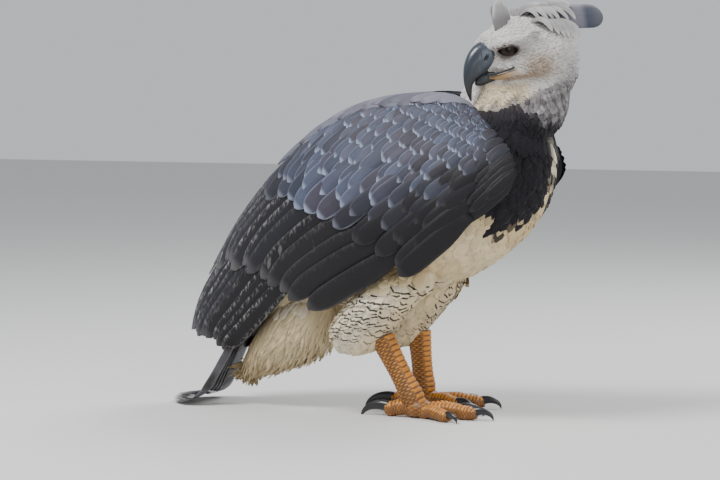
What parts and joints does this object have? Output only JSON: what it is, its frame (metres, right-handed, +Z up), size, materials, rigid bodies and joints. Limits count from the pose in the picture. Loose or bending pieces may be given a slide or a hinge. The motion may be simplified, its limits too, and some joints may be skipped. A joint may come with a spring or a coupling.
{
  "type": "harpy eagle",
  "caption": "Life-size harpy eagle standing at rest with folded wings, raised crest and its head turned back over the right shoulder.",
  "frame": {"origin": "centre of the bounding box's base, on the floor the bird stands on", "axes": "+X the way the breast faces, +Y towards the bird's own left side, +Z up"},
  "size_m": [0.6766, 0.29, 0.6382],
  "materials": {
    "breast_feathers": "cream feathers with thin dark bars on the thighs",
    "neck_feathers": "mottled grey feathers",
    "head_feathers": "pale grey feathers",
    "crest_feathers": "grey feathers with darker tips",
    "dark_feathers": "slate feathers with pale edges and a faint sheen",
    "bill": "slate-blue horn, glossy",
    "eye": "dark brown, wet",
    "foot_skin": "orange-yellow scales with brown edges",
    "claw": "black horn"
  },
  "bodies": {
    "root": {"torso": "breast_feathers", "neck": "neck_feathers", "head": "head_feathers", "crest": "crest_feathers", "cere": "bill", "bill_upper": "bill", "bill_lower": "bill", "eye_right": "eye", "eye_left": "eye", "tail": "dark_feathers", "undertail": "breast_feathers", "wing_right": "dark_feathers", "wing_left": "dark_feathers", "thigh_right": "breast_feathers", "thigh_left": "breast_feathers", "tarsus_right": "foot_skin", "tarsus_left": "foot_skin", "foot_right": "foot_skin", "foot_left": "foot_skin", "toe_right_inner": "foot_skin", "toe_right_middle": "foot_skin", "toe_right_outer": "foot_skin", "toe_right_hind": "foot_skin", "toe_left_inner": "foot_skin", "toe_left_middle": "foot_skin", "toe_left_outer": "foot_skin", "toe_left_hind": "foot_skin", "claw_right_inner": "claw", "claw_right_middle": "claw", "claw_right_outer": "claw", "claw_right_hind": "claw", "claw_left_inner": "claw", "claw_left_middle": "claw", "claw_left_outer": "claw", "claw_left_hind": "claw"}
  },
  "joints": []
}
